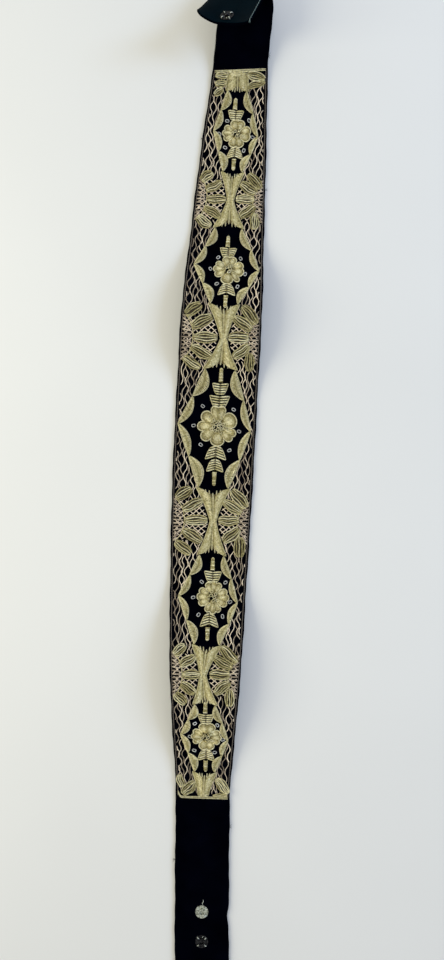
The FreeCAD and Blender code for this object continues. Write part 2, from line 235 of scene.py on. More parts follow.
def lay(across, along, height):
    """Places on the unfolded strap as points in the frame."""
    slope = np.interp(along, ALONG, SLOPE)
    lean = 1 / np.sqrt(1 + slope * slope)
    return np.stack([
        np.interp(along, ALONG, CENTRE) + across,
        along - height * slope * lean,
        np.interp(along, ALONG, TOP) + height * lean,
    ], axis=-1)


def turned(points, place, axis, angle):
    """Points turned about a line, each by its own angle."""
    arm = points - place
    cosine, sine = np.cos(angle)[..., None], np.sin(angle)[..., None]
    along_axis = (arm @ axis)[..., None] * axis
    return place + arm * cosine + np.cross(axis, arm) * sine + along_axis * (1 - cosine)


def read_folds():
    """Fold lines of the top end in the unfolded strap: (point, direction), and their angle."""
    hinges = [joint(name) for name in ("roll_fold_near", "roll_fold_top", "flap_fold")]
    angle = -math.radians(hinges[0]["range_deg"][0])
    folds = []
    for hinge in hinges:
        place = np.array(hinge["pos_m"]) / MM
        end = place + np.array(hinge["axis"])
        for fold in folds:
            place = turned(place, *fold, np.array(-angle))
            end = turned(end, *fold, np.array(-angle))
        folds.append((place, end - place))
    return folds, angle


FOLDS, FOLD_ANGLE = read_folds()


def beyond(points, fold):
    """Distance past a fold line, seen from above."""
    place, axis = fold
    return (points[..., 1] - place[1]) * axis[0] - (points[..., 0] - place[0]) * axis[1]


def fold_shares(points):
    """How far each fold has turned a point, from 0 before the fold to 1 past it."""
    past = [beyond(points, fold) for fold in FOLDS]
    inner = [past[k] - past[k + 1] for k in range(len(past) - 1)]
    gaps = [FOLD_SPACING, *inner, FOLD_SPACING]
    shares = []
    for k, distance in enumerate(past):
        x = np.clip(0.5 + distance / np.where(distance < 0, gaps[k], gaps[k + 1]), 0, 1)
        shares.append(x * x * (3 - 2 * x))
    return shares


def folded(points):
    """Points of the unfolded strap, carried smoothly round the folds of the top end."""
    result = points
    for fold, share in reversed(list(zip(FOLDS, fold_shares(points)))):
        result = turned(result, *fold, share * FOLD_ANGLE)
    return result


def unfolded_length():
    """How far along the unfolded strap the folded end reaches."""
    first, _ = node_edges("velvet_flap")
    for fold in FOLDS:
        first = turned(first, *fold, np.full(len(first), -FOLD_ANGLE))
    return first[:, 1].max()


FLAP_END = unfolded_length()
TAIL_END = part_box("velvet_tail")[0].y / MM
TAIL_FOLD = joint("tail_fold")["pos_m"][1] / MM


# ---- mesh building ----


class Pile:
    """The faces of one piece: wires and pads, with a tone from 0 to 1 for their material.

    A tone is one number, or one for each row of faces.
    """

    def __init__(self, place=lay):
        self.place = place
        self.points, self.faces, self.uvs, self.slots, self.tones = [], [], [], [], []
        self.count = 0

    def cap(self, ring, slot, tone):
        """One face over a ring of points."""
        self.faces.append(np.array([ring]))
        self.uvs.append(np.zeros((1, len(ring), 2)))
        self.slots.append(np.array([slot]))
        self.tones.append(np.array([tone]))

    def closed_grid(self, points, uv, slot, tone):
        """Quads over rows of frame points, each row a ring, with a face over the first and last row.

        uv has one column more than points.
        """
        rows, columns = points.shape[:2]
        index = self.count + np.arange(rows * columns).reshape(rows, columns)
        index = np.concatenate([index, index[:, :1]], axis=1)
        self.points.append(points.reshape(-1, 3))
        self.count += rows * columns
        back, on = slice(None, -1), slice(1, None)
        corners = [(back, back), (on, back), (on, on), (back, on)]
        self.faces.append(np.stack([index[c] for c in corners], axis=-1).reshape(-1, 4))
        self.uvs.append(np.stack([uv[c] for c in corners], axis=-2).reshape(-1, 4, 2))
        self.slots.append(np.full(len(self.faces[-1]), slot))
        self.tones.append(np.repeat(np.broadcast_to(tone, rows - 1), columns))
        first, last = np.ravel(tone)[[0, -1]]
        self.cap(index[0, :-1], slot, first)
        self.cap(index[-1, -2::-1], slot, last)

    def wire(self, path, radius, tone=None, slot=0, sides=6, loop=False):
        """A wire along a path of (across, along, height), with a random tone if none is given."""
        path = np.asarray(path, float)
        if loop:
            path = np.concatenate([path, path[:1]])
        points = self.place(*path.T)
        up = self.place(path[:, 0], path[:, 1], path[:, 2] + 0.5) - points
        way = np.gradient(points, axis=0)
        if loop:
            way[0] = way[-1] = points[1] - points[-2]
        way /= np.linalg.norm(way, axis=1, keepdims=True) + 1e-9
        side = np.cross(way, up)
        side /= np.linalg.norm(side, axis=1, keepdims=True) + 1e-9
        size = np.full(len(points), float(radius))
        if not loop:
            size[[0, -1]] *= 0.5
        turn = np.arange(sides) * 2 * math.pi / sides
        ring = np.cos(turn)[:, None] * side[:, None] + np.sin(turn)[:, None] * np.cross(side, way)[:, None]
        length = np.concatenate([[0], np.cumsum(np.linalg.norm(np.diff(points, axis=0), axis=1))])
        uv = np.stack(np.broadcast_arrays(length[:, None], np.arange(sides + 1) / sides), axis=-1)
        tone = RANDOM.random() if tone is None else tone
        self.closed_grid(points[:, None] + ring * size[:, None, None], uv, slot, tone)

    def pad(self, place, rise, tone=0.4, rows=14, columns=9):
        """A closed pillow over the unit square: place gives (across, along) and rise its height.

        It takes the piece's second material, a dark padding whose colour is painted shade between the wires.
        """
        u = np.linspace(0.02, 0.98, rows)[:, None]
        v = np.concatenate([np.linspace(0, 1, columns), np.linspace(0.8, 0.2, 3)])[None]
        u, v = np.broadcast_arrays(u, v)
        height = rise(u, v) + PAD_TOP
        height[:, columns:] = PAD_FOOT
        across, along = place(u, v)
        uv = np.stack(np.broadcast_arrays(u[:, :1] * 10, np.linspace(0, 5, u.shape[1] + 1)), axis=-1)
        self.closed_grid(lay(across, along, height), uv, 1, tone)

    def build(self, name, materials):
        mesh = bpy.data.meshes.new(name)
        faces = [face for group in self.faces for face in group.tolist()]
        mesh.from_pydata(np.concatenate(self.points) * MM, [], faces)
        mesh.polygons.foreach_set("material_index", np.concatenate(self.slots).astype(np.int32))
        mesh.polygons.foreach_set("use_smooth", [len(face) == 4 for face in faces])
        uv = np.concatenate([u.reshape(-1, 2) for u in self.uvs]).astype(np.float32)
        mesh.uv_layers.new(name="along_wire").data.foreach_set("uv", uv.ravel())
        tone = mesh.attributes.new("tone", "FLOAT", "FACE")
        tone.data.foreach_set("value", np.concatenate(self.tones).astype(np.float32))
        for material in materials:
            mesh.materials.append(material)
        piece = bpy.data.objects.new(name, mesh)
        bpy.context.scene.collection.objects.link(piece)
        return piece


# ---- materials ----


class Look:
    """The node tree of one material."""

    def __init__(self, name):
        self.material = bpy.data.materials.new(name)
        self.material.use_nodes = True
        self.nodes, self.links = self.material.node_tree.nodes, self.material.node_tree.links
        self.shader = self.nodes["Principled BSDF"]

    def feed(self, inputs, values):
        """Link each named input to a socket, or set it to a plain value."""
        for name, value in values.items():
            if isinstance(value, bpy.types.NodeSocket):
                self.links.new(value, inputs[name])
            else:
                inputs[name].default_value = value

    def set(self, **values):
        """Feed the shader's inputs, named with _ for a space."""
        self.feed(self.shader.inputs, {name.replace("_", " "): value for name, value in values.items()})

    def texture(self, kind, **values):
        """A procedural texture in the object's own coordinates."""
        node = self.nodes.new(kind)
        place = self.nodes.new("ShaderNodeTexCoord")
        self.feed(node.inputs, {"Vector": place.outputs["Object"], **values})
        return node

    def noise(self, scale, detail):
        return self.texture("ShaderNodeTexNoise", Scale=scale, Detail=detail).outputs["Fac"]

    def ramp(self, value, *stops):
        """Colours or greys along a value: stops are (position, colour or grey)."""
        node = self.nodes.new("ShaderNodeValToRGB")
        elements = node.color_ramp.elements
        while len(elements) < len(stops):
            elements.new(0.5)
        for element, (position, colour) in zip(elements, stops):
            element.position = position
            element.color = (*np.broadcast_to(colour, 3), 1)
        self.links.new(value, node.inputs["Fac"])
        return node.outputs["Color"]

    def combined(self, operation, first, second=0.0):
        node = self.nodes.new("ShaderNodeMath")
        node.operation = operation
        self.feed(node.inputs, {0: first, 1: second})
        return node.outputs["Value"]

    def bump(self, height, strength, distance=0.0002):
        node = self.nodes.new("ShaderNodeBump")
        self.feed(node.inputs, {"Strength": strength, "Distance": distance, "Height": height})
        self.links.new(node.outputs["Normal"], self.shader.inputs["Normal"])

    def wire_tone(self):
        """The wire's tone, with the painted shade and highlights set along some wires, mixed with lighter and
        darker patches a few turns long.
        """
        tone = self.nodes.new("ShaderNodeAttribute")
        tone.attribute_name = "tone"
        patches = self.ramp(self.noise(PATCH_SCALE, 3), (0.38, 0.0), (0.62, 1.0))
        own = self.combined("MULTIPLY", tone.outputs["Fac"], OWN_TONE_SHARE)
        return self.combined("ADD", own, self.combined("MULTIPLY", patches, 1 - OWN_TONE_SHARE))

    def coil_bump(self, pitch, strength):
        """Fine turns round a wire, from its length in the uv map."""
        uv = self.nodes.new("ShaderNodeUVMap")
        uv.uv_map = "along_wire"
        split = self.nodes.new("ShaderNodeSeparateXYZ")
        self.links.new(uv.outputs["UV"], split.inputs["Vector"])
        turns = self.combined("MULTIPLY", split.outputs["X"], 2 * math.pi / pitch)
        slant = self.combined("MULTIPLY", split.outputs["Y"], 2 * math.pi)
        self.bump(self.combined("SINE", self.combined("ADD", turns, slant)), strength)


def purl(name, dark, middle, light, roughness, metallic):
    """Coiled metal wire, from dark to light by its tone: painted shade and highlights where the tone is set
    along a wire, and random patches.
    """
    look = Look(name)
    look.set(
        Base_Color=look.ramp(look.wire_tone(), (0.12, dark), (0.5, middle), (0.88, light)),
        Roughness=look.ramp(look.noise(260, 4), (0.3, roughness - 0.12), (0.75, roughness + 0.2)),
        Metallic=metallic,
    )
    look.coil_bump(PURL_PITCH, 0.9)
    return look.material


def thread(name, dark, light, sheen=0.3):
    """Spun thread."""
    look = Look(name)
    look.set(
        Base_Color=look.ramp(look.wire_tone(), (0.2, dark), (0.8, light)),
        Roughness=0.6,
        Sheen_Weight=sheen,
    )
    look.coil_bump(THREAD_PITCH, 0.5)
    return look.material


def velvet():
    """Black pile with a deep blue cast, brushed unevenly."""
    look = Look("velvet")
    brushed = look.noise(55, 5)
    look.set(
        Base_Color=look.ramp(brushed, (0.3, (0.0002, 0.0003, 0.0012)), (0.75, (0.0006, 0.0009, 0.0034))),
        Roughness=0.9,
        Specular_IOR_Level=0.0,
        Sheen_Weight=0.004,
        Sheen_Roughness=0.35,
        Sheen_Tint=(0.35, 0.5, 1.0, 1),
    )
    look.bump(look.combined("ADD", look.noise(2600, 2), brushed), 0.5, 0.0004)
    return look.material


def lining_cloth():
    """Smooth dark teal lining with a fine twill."""
    look = Look("lining_cloth")
    weave = look.texture("ShaderNodeTexWave", Scale=620, Distortion=1.2)
    weave.bands_direction = "DIAGONAL"
    worn = look.combined("MULTIPLY", look.noise(90, 4), 0.7)
    tone = look.combined("ADD", worn, look.combined("MULTIPLY", weave.outputs["Fac"], 0.3))
    look.set(
        Base_Color=look.ramp(tone, (0.25, (0.0002, 0.0026, 0.0048)), (0.8, (0.0007, 0.0052, 0.0088))),
        Roughness=0.46,
        Specular_IOR_Level=0.008,
        Specular_Tint=(0.55, 0.85, 1.0, 1),
        Sheen_Weight=0.001,
    )
    look.bump(tone, 0.35)
    return look.material


def metal(name, dark, light, roughness):
    """Plain worn metal for studs and springs."""
    look = Look(name)
    wear = look.noise(700, 4)
    look.set(
        Base_Color=look.ramp(wear, (0.35, dark), (0.7, light)),
        Roughness=look.ramp(wear, (0.3, roughness), (0.8, roughness + 0.25)),
        Metallic=0.95,
    )
    look.bump(wear, 0.15)
    return look.material


VELVET = velvet()
LINING_CLOTH = lining_cloth()
# The purl's lightest colour, reached by its painted highlights and its lightest random tones
PURL_LIGHT = (1.0, 0.93, 0.62)
GOLD = purl("gold_purl", (0.13, 0.105, 0.04), (0.58, 0.51, 0.235), PURL_LIGHT, 0.33, 0.5)
PALE_PURL = purl("pale_purl", (0.15, 0.115, 0.04), (0.60, 0.52, 0.23), PURL_LIGHT, 0.32, 0.5)
# Padding under the wires, coloured dark as painted shade in the gaps between them
SHADED_GOLD_PADDING = purl("shaded_gold_padding", (0.035, 0.025, 0.010), (0.09, 0.068, 0.026), (0.16, 0.12, 0.05), 0.6, 0.3)
SHADED_LEAF_PADDING = purl("shaded_leaf_padding", (0.06, 0.045, 0.018), (0.17, 0.135, 0.055), (0.30, 0.24, 0.10), 0.5, 0.4)
SILVER = purl("silver_purl", (0.34, 0.35, 0.34), (0.60, 0.61, 0.60), (0.90, 0.91, 0.90), 0.3, 0.5)
NET_THREAD = thread("net_thread", (0.24, 0.18, 0.12), (0.95, 0.80, 0.60))
EDGE_THREAD = thread("edge_thread", (0.025, 0.018, 0.013), (0.15, 0.115, 0.085))
SEWING_THREAD = thread("sewing_thread", (0.008, 0.008, 0.012), (0.05, 0.05, 0.055), 0.1)
# Stud thread from nearly black to pale, so one thread is painted lit at one stud and in shade at another
STUD_THREAD = thread("stud_thread", (0.010, 0.010, 0.014), (0.88, 0.94, 0.82))
HEM_THREAD = thread("hem_thread", (0.006, 0.018, 0.020), (0.05, 0.11, 0.11))
STUD_METAL = metal("stud_metal", (0.16, 0.17, 0.14), (0.80, 0.85, 0.74), 0.2)
# The stud metal painted nearly black for the end and flap studs: painted shade, so that they show only the
# lamps' glints
SHADED_STUD_METAL = metal("shaded_stud_metal", (0.004, 0.004, 0.006), (0.05, 0.05, 0.055), 0.12)
SPRING_STEEL = metal("spring_steel", (0.35, 0.36, 0.38), (0.75, 0.76, 0.78), 0.18)


# ---- cloth ----


def end_corner(distance):
    """How far a rounded corner draws the edge in, at a distance from the strap's end."""
    rest = np.clip(CORNER_RADIUS - distance, 0, CORNER_RADIUS)
    return CORNER_RADIUS - np.sqrt(CORNER_RADIUS ** 2 - rest ** 2)


def edge(along, side):
    """The strap's edge, slightly uneven as cut cloth is, with a dent beside the tail's crease."""
    wander = 0.22 * np.sin(along * 0.11 + side) + 0.14 * np.sin(along * 0.37 + 2 * side)
    dent = 1.1 * np.exp(-((along - CREASE) / 7) ** 2) * (side > 0)
    corner = end_corner(along - TAIL_END) + end_corner(FLAP_END - along)
    return side * (half_width(along) - 0.25 + wander - dent - corner)


def nap(across, along):
    """Height of the velvet's face over the smooth surface: the tail's crease and a faint pucker."""
    crease = -0.7 * np.exp(-((along - CREASE - 0.06 * across) / 1.3) ** 2) / (1 + np.exp(-across - 4))
    pucker = 0.10 * np.sin(along * 0.21) * np.sin(across * 0.17 + along * 0.05)
    return crease + pucker


def curl(across, along):
    """Height lost where the flap's corners curl up and over, most at its left."""
    past = np.clip((along - FLAP_END + CURL_LENGTH) / CURL_LENGTH, 0, 1)
    left, right = np.clip((-across - 6) / 17, 0, 1), np.clip((across - 6) / 17, 0, 1)
    return -(LEFT_CURL * left ** 1.6 + RIGHT_CURL * right ** 1.6) * past ** 1.4


def section(low, high, rounding):
    """Round a flat shell's section: (share of the width, inset, height), top from right to left."""
    turn = np.linspace(0, math.pi / 2, 4)
    round_in, round_down = rounding * (1 - np.sin(turn)), high - rounding * (1 - np.cos(turn))
    between = np.linspace(1, -1, CLOTH_COLUMNS)[1:-1]
    flat = np.zeros(len(between))
    share = np.concatenate([np.ones(4), between, -np.ones(4), [-1], -between, [1]])
    inset = np.concatenate([round_in[::-1], flat, round_in, [0.1], flat, [0.1]])
    height = np.concatenate([round_down[::-1], flat + high, round_down, [low], flat + low, [low]])
    return share, inset, height


def row_shares(start, end):
    """Rows of a stretch as shares of its length, closer together at the strap's rounded corners."""
    length = (sum(end) - sum(start)) / 2
    rows = np.linspace(0, 1, max(8, int(length / CLOTH_STEP)))
    near = CORNER_RADIUS * (1 - np.cos(np.linspace(0.06, math.pi / 2, 8))) / length
    if start[0] == TAIL_END:
        rows = np.concatenate([near, rows[rows > near[-1]]])
    if end[0] == FLAP_END:
        rows = np.concatenate([rows[rows < 1 - near[-1]], 1 - near[::-1]])
    return rows


def shell(name, start, end, low, high, inset, rounding, material):
    """A closed layer of cloth between two rows, each (along at the left edge, along at the right)."""
    share, drawn, height = section(low, high, rounding)
    rows = row_shares(start, end)
    left = start[0] + (end[0] - start[0]) * rows[:, None]
    right = start[1] + (end[1] - start[1]) * rows[:, None]
    along = left + (right - left) * (share + 1) / 2
    wide = np.where(share > 0, edge(along, 1), -edge(along, -1)) - drawn - inset
    across = share * wide
    top = np.where(height > (low + high) / 2, nap(across, along), 0) * (high >= 0)
    points = folded(lay(across, along, height + top + curl(across, along)))
    uv = np.stack(np.broadcast_arrays(along[:, :1], np.linspace(0, 60, len(share) + 1)), axis=-1)
    pile = Pile()
    pile.closed_grid(points, uv, 0, 0.5)
    return pile.build(name, [material])


def mid_row(k):
    """The row half way between fold k and fold k + 1, as (along at left, along at right)."""
    ends = []
    for side in (-1, 1):
        places = []
        for point, axis in FOLDS[k:k + 2]:
            across = side * half_width(point[1]) + np.interp(point[1], ALONG, CENTRE)
            places.append(point[1] + (across - point[0]) * axis[1] / axis[0])
        ends.append(sum(places) / 2)
    return tuple(ends)


def fold_span(k):
    """Points of the folded strap square to fold k, just before it and just past it."""
    point, axis = FOLDS[k]
    reach = np.array([-FOLD_REACH, FOLD_REACH])
    middle = np.full(2, -FACE / 2)
    return list(folded(lay(-axis[1] * reach, point[1] + axis[0] * reach, middle)) * MM)


def make_cloth(floor):
    """Velvet and lining, cut where a stretch that bends over one joint meets the next."""
    rows = [(TAIL_END, TAIL_END), (SEAM, SEAM), mid_row(0), mid_row(1), (FLAP_END, FLAP_END)]
    tail_span = [(0.0, (TAIL_FOLD + reach) * MM, 0.001) for reach in (6, -6)]
    stretches = [
        ("tail", "band", "tail", tail_span, ["tail"], "laid"),
        ("band", "band", "roll_near", fold_span(0), ["band", "roll_near"], "laid"),
        ("roll", "roll_near", "roll_top", fold_span(1), ["roll_top"], "folded"),
        ("flap", "roll_top", "flap", fold_span(2), ["flap"], "folded"),
    ]
    for (name, first, second, span, nodes, held), start, end in zip(stretches, rows, rows[1:]):
        seam_height = LINING - FACE
        linings = shell("lining_of_" + name, start, end, -FACE, seam_height, LINING_INSET, 0.15, LINING_CLOTH)
        face = shell("velvet_of_" + name, start, end, seam_height, 0.0, 0.0, EDGE_ROUND, VELVET)
        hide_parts(*["lining_" + n for n in nodes])
        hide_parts(*[layer + n for n in nodes for layer in ("velvet_", "interlining_")])
        for piece, inset in ((linings, LINING_INSET), (face, 0.0)):
            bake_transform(piece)


# ---- stitches: every place below is (across, along) ----


def mixed(first, second, share):
    return np.asarray(first, float) * (1 - share) + np.asarray(second, float) * share


def line(start, end, count):
    """Evenly spaced places from start to end."""
    return mixed(start, end, np.linspace(0, 1, count)[:, None])


def raised(flat, height):
    return np.column_stack([flat, np.broadcast_to(height, len(flat))])


def track(across, along, height):
    """A path from its places across, along and in height, each an array or one number."""
    return np.column_stack(np.broadcast_arrays(across, along, height))


def painted_shading(*tones):
    """Painted shade and highlights along a wire, as tones, with some chance in them."""
    return np.clip(np.array(tones) * RANDOM.uniform(0.8, 1.12) + RANDOM.normal(0, 0.04, len(tones)), 0, 1)


def over(place, rise, u, v, lift):
    """A path over a pad, lifted by the wire's radius."""
    u, v = np.broadcast_arrays(np.asarray(u, float), np.asarray(v, float))
    across, along = place(u, v)
    return track(across, along, rise(u, v) + lift)


def crown(v):
    """The round of a pad's section, from 0 at one edge to 1 in the middle and 0 at the other."""
    return np.sqrt(np.clip(1 - (2 * v - 1) ** 2, 0, 1))


def beside(start, end, side=1):
    """The length of a straight line, and a function for places at u along it and swell beside it."""
    start = np.asarray(start, float)
    run = np.asarray(end, float) - start
    length = np.linalg.norm(run)
    out = side * np.array([-run[1], run[0]]) / length
    return length, lambda u, swell: [start[n] + run[n] * u + out[n] * swell for n in (0, 1)]


def leaf(pile, start, end, depth, side):
    """A padded leaf on a straight back, bulging to one side, with slanted wires and an outline."""
    length, at = beside(start, end, side)

    def place(u, v):
        return at(u, depth * (np.sin(math.pi * u) ** 0.8 * v - 0.07 * np.sin(math.pi * u) * (1 - v)))

    def rise(u, v):
        return 0.25 + 0.8 * (crown(v) * np.sin(math.pi * u) ** 0.5)

    pile.pad(place, rise)
    for u in np.arange(1.0, length - 0.4, 1.08) / length:
        lean = 1.9 / length + RANDOM.normal(0, 0.15) / length
        v = np.linspace(0.04, 0.96, 6)
        across = np.clip(u + lean * (2 * v - 1), 0.015, 0.985)
        # Painted highlight where each wire meets the leaf's two edges, painted shade over its middle.
        pile.wire(over(place, rise, across, v, PURL * 0.6), PURL * 0.92, painted_shading(1.0, 0.66, 0.4, 0.6, 1.0))
    rim = np.linspace(0.0, 1.0, 24)
    for v in (0.0, 1.0):
        pile.wire(over(place, rise, rim, v, 0.35), THREAD, 0.75 + 0.2 * RANDOM.random())


def blade(pile, start, end, width, wires):
    """A blade of lengthwise wires, drawn together at both ends."""
    _, at = beside(start, end)
    sway, phase = RANDOM.uniform(0.15, 0.5), RANDOM.uniform(0, 6)

    def place(u, v):
        swell = width * (v - 0.5) * (0.34 + 0.66 * np.sin(math.pi * np.clip(u, 0, 1)) ** 0.6)
        return at(u, swell + sway * np.sin(u * 7 + phase) * np.sin(math.pi * u))

    def rise(u, v):
        return 0.60 + 0.50 * crown(v) * np.sin(math.pi * u) ** 0.5

    # A very dark pad: painted shade in the gaps between the blade's wires.
    pile.pad(place, lambda u, v: rise(u, v) * 0.7, 0.15)
    steps = np.linspace(0.0, 1.0, 15)
    for v in np.linspace(0.0, 1.0, wires):
        drift = v + RANDOM.normal(0, 0.02) + 0.03 * np.sin(steps * 9 + RANDOM.uniform(0, 6))
        pile.wire(over(place, rise, steps, np.clip(drift, 0, 1), 0.35),
                  PURL * RANDOM.uniform(0.88, 1.08), RANDOM.uniform(0.3, 1.0))


def petal(pile, heart, radius, first, last, lobes):
    """A padded petal between two directions in degrees, lobed outside, with radial wires."""
    middle, half = math.radians((first + last) / 2), math.radians(last - first) / 2

    def place(u, v):
        w = np.clip(v, 0, 1)
        lobe = 0.87 + 0.13 * np.abs(np.sin(lobes * math.pi * w)) ** 0.6
        outer = radius * lobe * (0.80 + 0.20 * np.sin(math.pi * w) ** 0.35)
        reach = radius * 0.20 + (outer - radius * 0.20) * u
        angle = middle + (2 * v - 1) * half * (0.84 + 0.14 * np.sin(math.pi * np.clip(u, 0, 1) * 0.62))
        return heart[0] + reach * np.cos(angle), heart[1] + reach * np.sin(angle)

    def rise(u, v):
        dome = np.clip(1 - (2 * v - 1) ** 4, 0, 1) ** 0.5 * np.sin(math.pi * (0.12 + 0.80 * u)) ** 0.6
        return 0.25 + 1.15 * dome

    pile.pad(place, rise)
    count = max(4, int(radius * 2 * half / 1.1))
    u = np.linspace(0.02, 0.97, 8)
    for v in np.linspace(0.05, 0.95, count):
        # Painted light and shade on each radial wire: lighter on each lobe, darker where two lobes meet, and
        # brightest part way out from the heart.
        lit = 0.35 + 0.65 * abs(math.sin(lobes * math.pi * v))
        tones = lit * painted_shading(0.25, 0.45, 0.8, 1.0, 0.9, 0.65, 0.45)
        pile.wire(over(place, rise, u, v, 0.28), PURL * 0.9, tones)
    flank, rim = np.linspace(0.35, 1.0, 9), np.linspace(0.0, 1.0, 19)[1:-1]
    u = np.concatenate([flank, np.ones(len(rim)), flank[::-1]])
    v = np.concatenate([np.zeros(9), rim, np.ones(9)])
    pile.wire(over(place, rise, u, v, 0.55), THREAD * 1.2, 0.95)


def chip_ring(pile, middle, size, height, squareness, tone, wire, tilt=0.0):
    """A small ring of wire, between round and square, turned at random."""
    turn = np.arange(16) * math.pi / 8
    spin = RANDOM.uniform(0, math.pi)
    x, y = np.cos(turn), np.sin(turn)
    x = np.sign(x) * np.abs(x) ** squareness * size[0]
    y = np.sign(y) * np.abs(y) ** squareness * size[1]
    across = middle[0] + x * math.cos(spin) - y * math.sin(spin)
    along = middle[1] + x * math.sin(spin) + y * math.cos(spin)
    pile.wire(track(across, along, height + tilt * x), wire, tone, loop=True)


def flower_centre(pile, heart, radius, count):
    """Small loops of purl heaped in the middle of a flower, in a sunflower order."""
    for k in range(count):
        reach = radius * 0.38 * math.sqrt((k + 0.3) / count)
        angle = k * 2.39996
        middle = (heart[0] + reach * math.cos(angle), heart[1] + reach * math.sin(angle))
        chip_ring(pile, middle, (1.35, 0.95), 2.3 + 0.3 * RANDOM.random(), 1.0,
                  RANDOM.uniform(0.65, 1.0), 0.37, RANDOM.uniform(-0.4, 0.4))


def tree(pile, middle, start, end, narrow, wide, slope):
    """Two rows of short slanted bars, wider at the end away from the flower."""
    way = math.copysign(1, end - start)
    for side in (-1, 1):
        ends = []
        for k in range(TREE_BARS):
            share = k / (TREE_BARS - 1)
            reach = (narrow + (wide - narrow) * share ** 0.8) / 2
            along = start + (end - start) * (0.06 + 0.80 * share) - way * slope * reach * 0.5
            inner = (middle + side * 0.25, along)
            outer = (middle + side * reach, along + way * slope * reach)
            path = line(inner, outer, 6)
            arch = 0.45 + 0.75 * np.sin(np.linspace(0.25, 0.9, 6) * math.pi)
            pile.wire(raised(path, arch), PURL * 1.4, 0.6 + 0.4 * RANDOM.random())
            ends.append((middle + side * (reach + 0.15), along + way * slope * reach))
        pile.wire(raised(np.array(ends), 0.55), THREAD, 0.85)
    # The middle line takes the dark padding's material: painted shade in the gap between the two rows of
    # bars.
    pile.wire(raised(line((middle, start), (middle, end - way * 0.8), 6), 0.5), PURL, 0.5, slot=1)


def stem(pile, middle, start, end):
    """A bullion stem: turns of purl over a core, with a loop at its end."""
    length = abs(end - start)
    way = math.copysign(1, end - start)
    for k in range(int(length / STEM_PITCH)):
        along = start + way * (0.5 + k * STEM_PITCH)
        reach = STEM_HALF * (1 - 0.25 * k * STEM_PITCH / length)
        arc = np.linspace(0, math.pi, 7)
        path = track(middle - reach * np.cos(arc), along + way * 0.5 * np.sin(arc), 0.25 + 0.95 * np.sin(arc))
        pile.wire(path, PURL * 1.05, 0.3 + 0.7 * RANDOM.random())
    turn = np.arange(12) * math.pi / 6
    loop = track(middle + 1.125 * np.cos(turn), end - way * 1.2 + 1.5 * np.sin(turn), 0.6)
    pile.wire(loop, THREAD, 0.9, loop=True)


def feathered(pile, inner, outer, start, end, lean, notch):
    """Slanted wires between two lines given as across = f(along), shorter at the inner line by a notch."""
    way = math.copysign(1, end - start)

    def place(u, v):
        along = start + (end - start) * u * (1 - notch * (1 - v))
        return inner(along) + (outer(along) - inner(along)) * v, along + 0 * v

    def rise(u, v):
        return 0.2 + 0.6 * crown(v) + 0 * u

    pile.pad(place, rise, 0.5, rows=20, columns=7)
    length = abs(end - start)
    v = np.linspace(0.02, 0.98, 6)
    for at in np.arange(0.4, length, FEATHER_PITCH):
        wide = abs(outer(start + way * at) - inner(start + way * at))
        u = np.clip((at + lean * wide * (v - 0.5)) / length, 0.0, 1.0)
        # Painted highlight on the pad's crown, painted shade toward its two lines.
        pile.wire(over(place, rise, u, v, 0.3), PURL * 0.9, painted_shading(0.35, 0.6, 0.75, 0.6, 0.5))
    rim = np.linspace(0, 1, max(6, int(length / 1.2)))
    for v in (0.0, 1.0):
        pile.wire(over(place, rise, rim, v, 0.35), THREAD, 0.8)


def calyx(pile, waist, end, waist_half, end_half, notch=0.2):
    """One flared half of an hourglass, from a waist to the notched and toothed tip of a medallion."""
    length = abs(end[1] - waist[1])
    way = math.copysign(1, end[1] - waist[1])

    def share(along):
        return np.clip(np.abs(along - waist[1]) / length, 0, 1)

    def middle(along):
        return waist[0] + (end[0] - waist[0]) * share(along)

    def spread(along):
        return waist_half + (end_half + 2.6 - waist_half) * share(along) ** 1.35

    for side in (-1, 1):
        feathered(pile, lambda s: middle(s) + side * 0.2, lambda s: middle(s) + side * spread(s),
                  waist[1], end[1] + way * 0.8, 0.75, notch)
    for k in range(4):
        along = waist[1] + way * (k * 1.3 - 0.6)
        arc = np.linspace(-1, 1, 7)
        path = track(waist[0] + arc * waist_half, along, 1.0 - 0.5 * arc ** 2)
        pile.wire(path, PURL, 0.5 + 0.4 * RANDOM.random())
    for k, at in enumerate(np.linspace(-0.5, 0.5, 5)):
        foot = np.array([end[0] + at * end_half, end[1] - way * (length * notch * (1 - abs(at)) + 0.8)])
        point = foot + np.array([at * 1.2, way * (2.7 + 0.8 * (k % 2))])
        pile.wire(raised(line(foot, point, 5), [1.0, 1.0, 0.9, 0.75, 0.55]), PURL * 0.95, 0.85)


def runs(path, inside):
    """The stretches of a path, four places or longer, that are inside an area."""
    keep = inside(path[:, 0], path[:, 1])
    edges = np.flatnonzero(np.diff(np.concatenate([[0], keep.astype(int), [0]])))
    return [path[a:b] for a, b in zip(edges[0::2], edges[1::2]) if b - a >= 4]


def long_net(pile, low, high, inside):
    """Threads along the strap that meet their neighbours in turn, as long diamonds."""
    along = np.arange(low, high, 0.9)
    threads = int(half_width(along).max() / NET_PITCH) + 1
    for k in range(-threads, threads + 1):
        place = along / NET_DIAMOND + 0.5 * (k % 2) + 0.30 * np.sin(along * 0.05 + k * 1.3)
        swing = np.sin(np.clip((np.abs((place % 1) * 2 - 1) * 2 - 1) * 1.25, -1, 1) * math.pi / 2)
        drift = 0.55 * np.sin(along * 0.13 + k * 1.7) + 0.3 * np.sin(along * 0.34 + k * 2.3)
        across = (k + 0.5) * NET_PITCH + 0.5 * NET_PITCH * swing + drift
        for path in runs(np.column_stack([across, along]), inside):
            pile.wire(raised(path, 0.32 + 0.1 * (k % 2)), FINE_THREAD * 1.1, sides=5)


